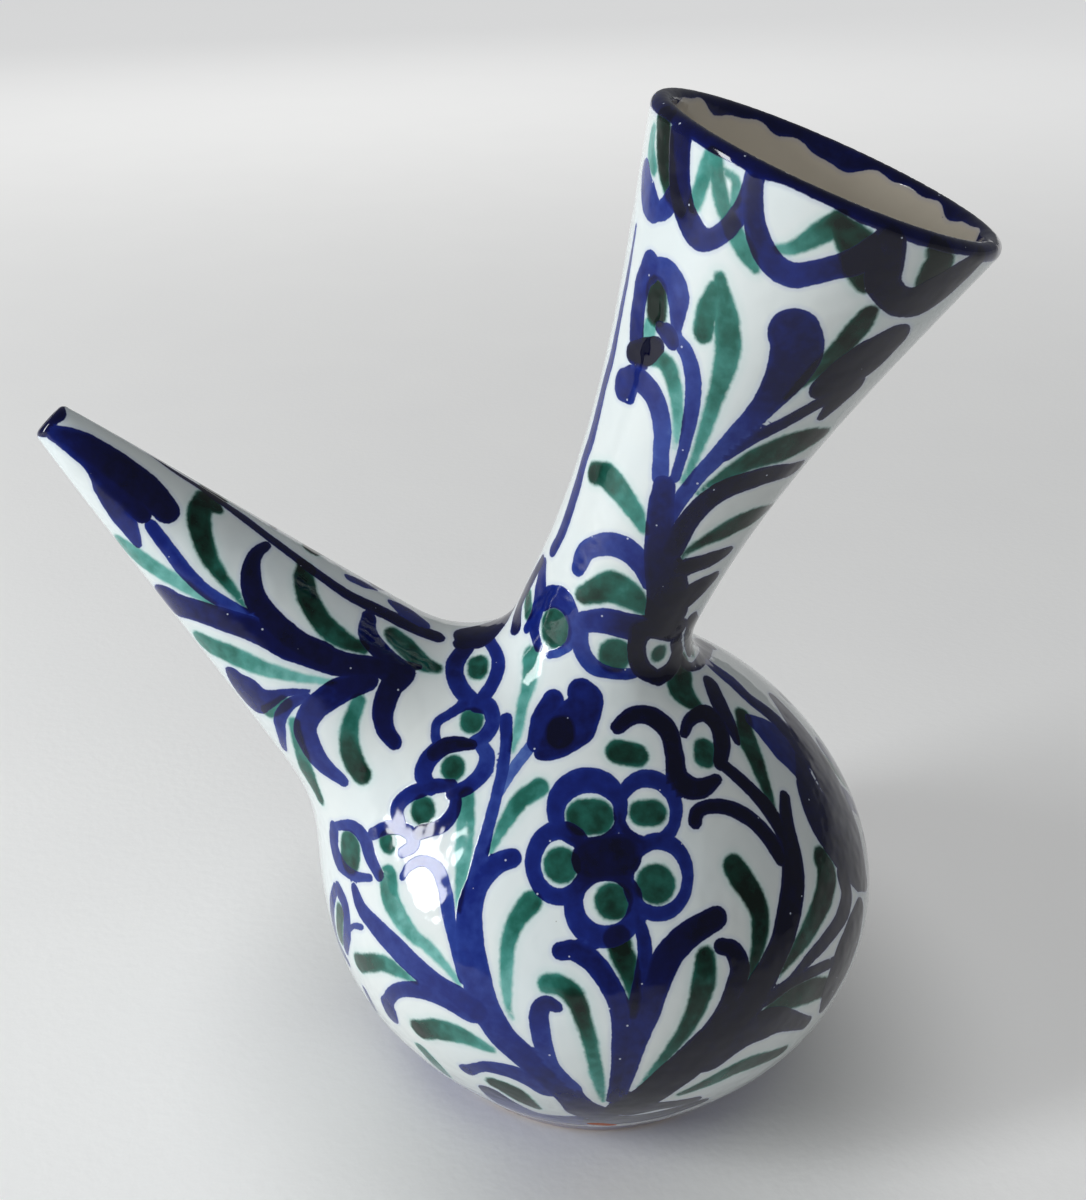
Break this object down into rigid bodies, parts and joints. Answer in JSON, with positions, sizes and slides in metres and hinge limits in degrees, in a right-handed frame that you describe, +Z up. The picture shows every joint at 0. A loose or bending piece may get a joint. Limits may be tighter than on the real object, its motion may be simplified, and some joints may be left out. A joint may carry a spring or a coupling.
{
  "type": "porron",
  "caption": "Round-bellied ceramic drinking jug with a leaning trumpet neck for filling and gripping and a tapered spout that pours a thin stream.",
  "frame": {"origin": "centre of the flat foot, on the table", "axes": "+Z up along the belly's axis, the spout points to -X, the neck leans to +X, and the vessel is mirror symmetric across the XZ plane"},
  "size_m": [0.2017, 0.1356, 0.2375],
  "materials": {
    "clay": "fired red earthenware, bare at the foot",
    "slip": "fired luting slip",
    "glaze": "glossy white tin glaze with cobalt blue and copper green brushwork",
    "lining": "glossy cream glaze inside the vessel"
  },
  "bodies": {
    "root": {"belly": "clay", "neck": "clay", "spout": "clay", "neck_seam": "slip", "spout_seam": "slip", "belly_glaze": "glaze", "belly_lining": "lining", "neck_glaze": "glaze", "spout_glaze": "glaze"}
  },
  "joints": []
}
